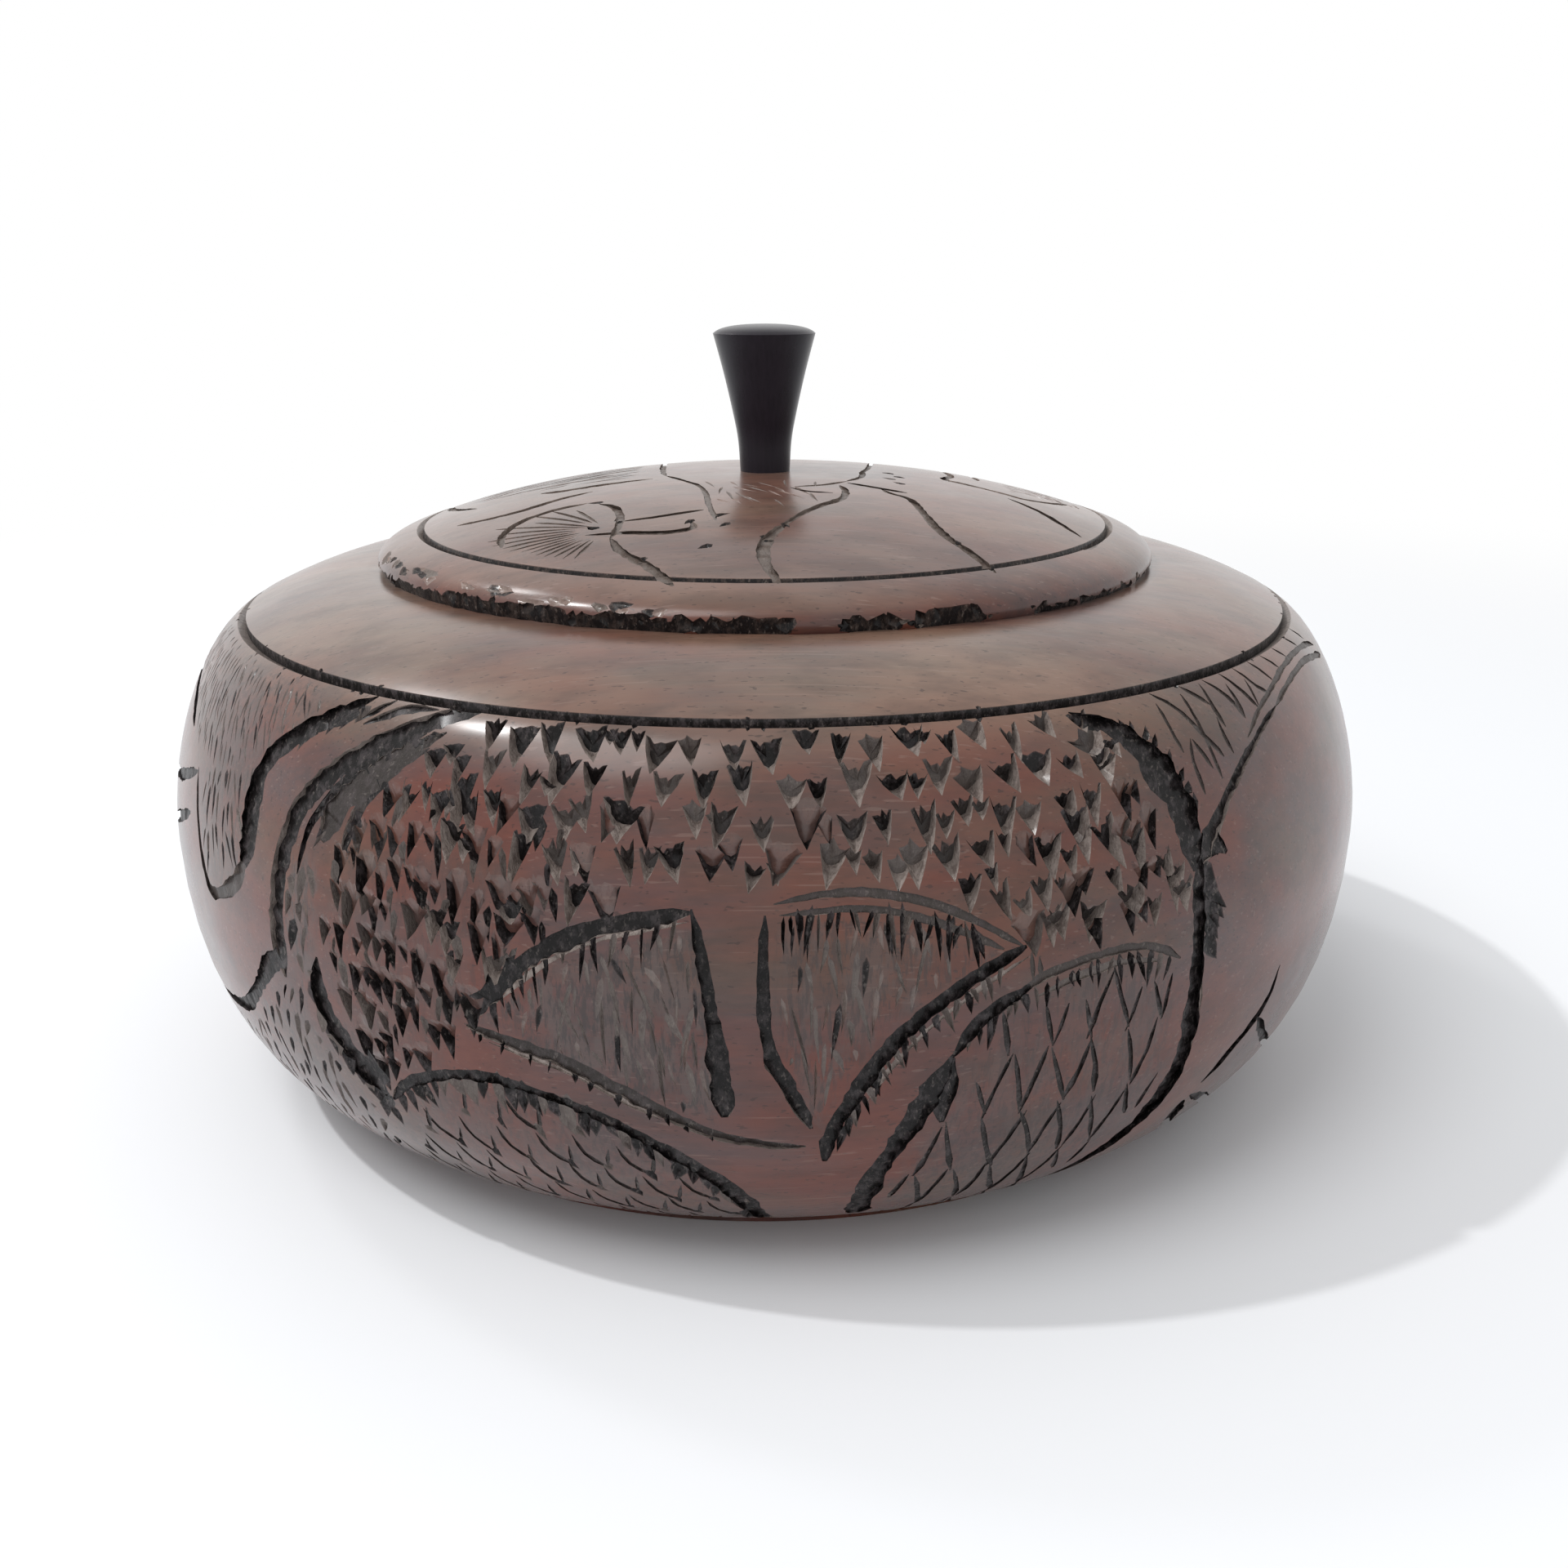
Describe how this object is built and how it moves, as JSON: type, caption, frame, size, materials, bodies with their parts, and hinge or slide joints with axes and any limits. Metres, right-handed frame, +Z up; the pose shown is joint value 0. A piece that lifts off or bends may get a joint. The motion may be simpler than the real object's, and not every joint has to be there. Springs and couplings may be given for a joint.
{
  "type": "trinket box",
  "caption": "Round turned and carved wooden trinket box: squat hollow bowl, domed lift-off lid with a slim flared knob.",
  "frame": {"origin": "on the table, under the middle of the bowl's foot", "axes": "+Z up along the turning axis of the bowl, lid and knob; -Y is the side that the picture shows"},
  "size_m": [0.15, 0.15, 0.0905],
  "materials": {
    "bowl_wood": "dark reddish-brown hardwood, turned, carved and waxed, satin; cuts stained near black",
    "lid_wood": "dark reddish-brown hardwood, turned, carved and waxed, satin; cuts stained near black",
    "knob_blackwood": "near-black blackwood, turned and polished, semi-gloss"
  },
  "bodies": {
    "bowl": {"bowl": "bowl_wood"},
    "lid": {"lid": "lid_wood", "knob": "knob_blackwood"}
  },
  "joints": [
    {"name": "lid_lift", "type": "slide", "parent": "bowl", "child": "lid", "axis": [0, 0, 1], "range_m": [0, 0.08]}
  ]
}
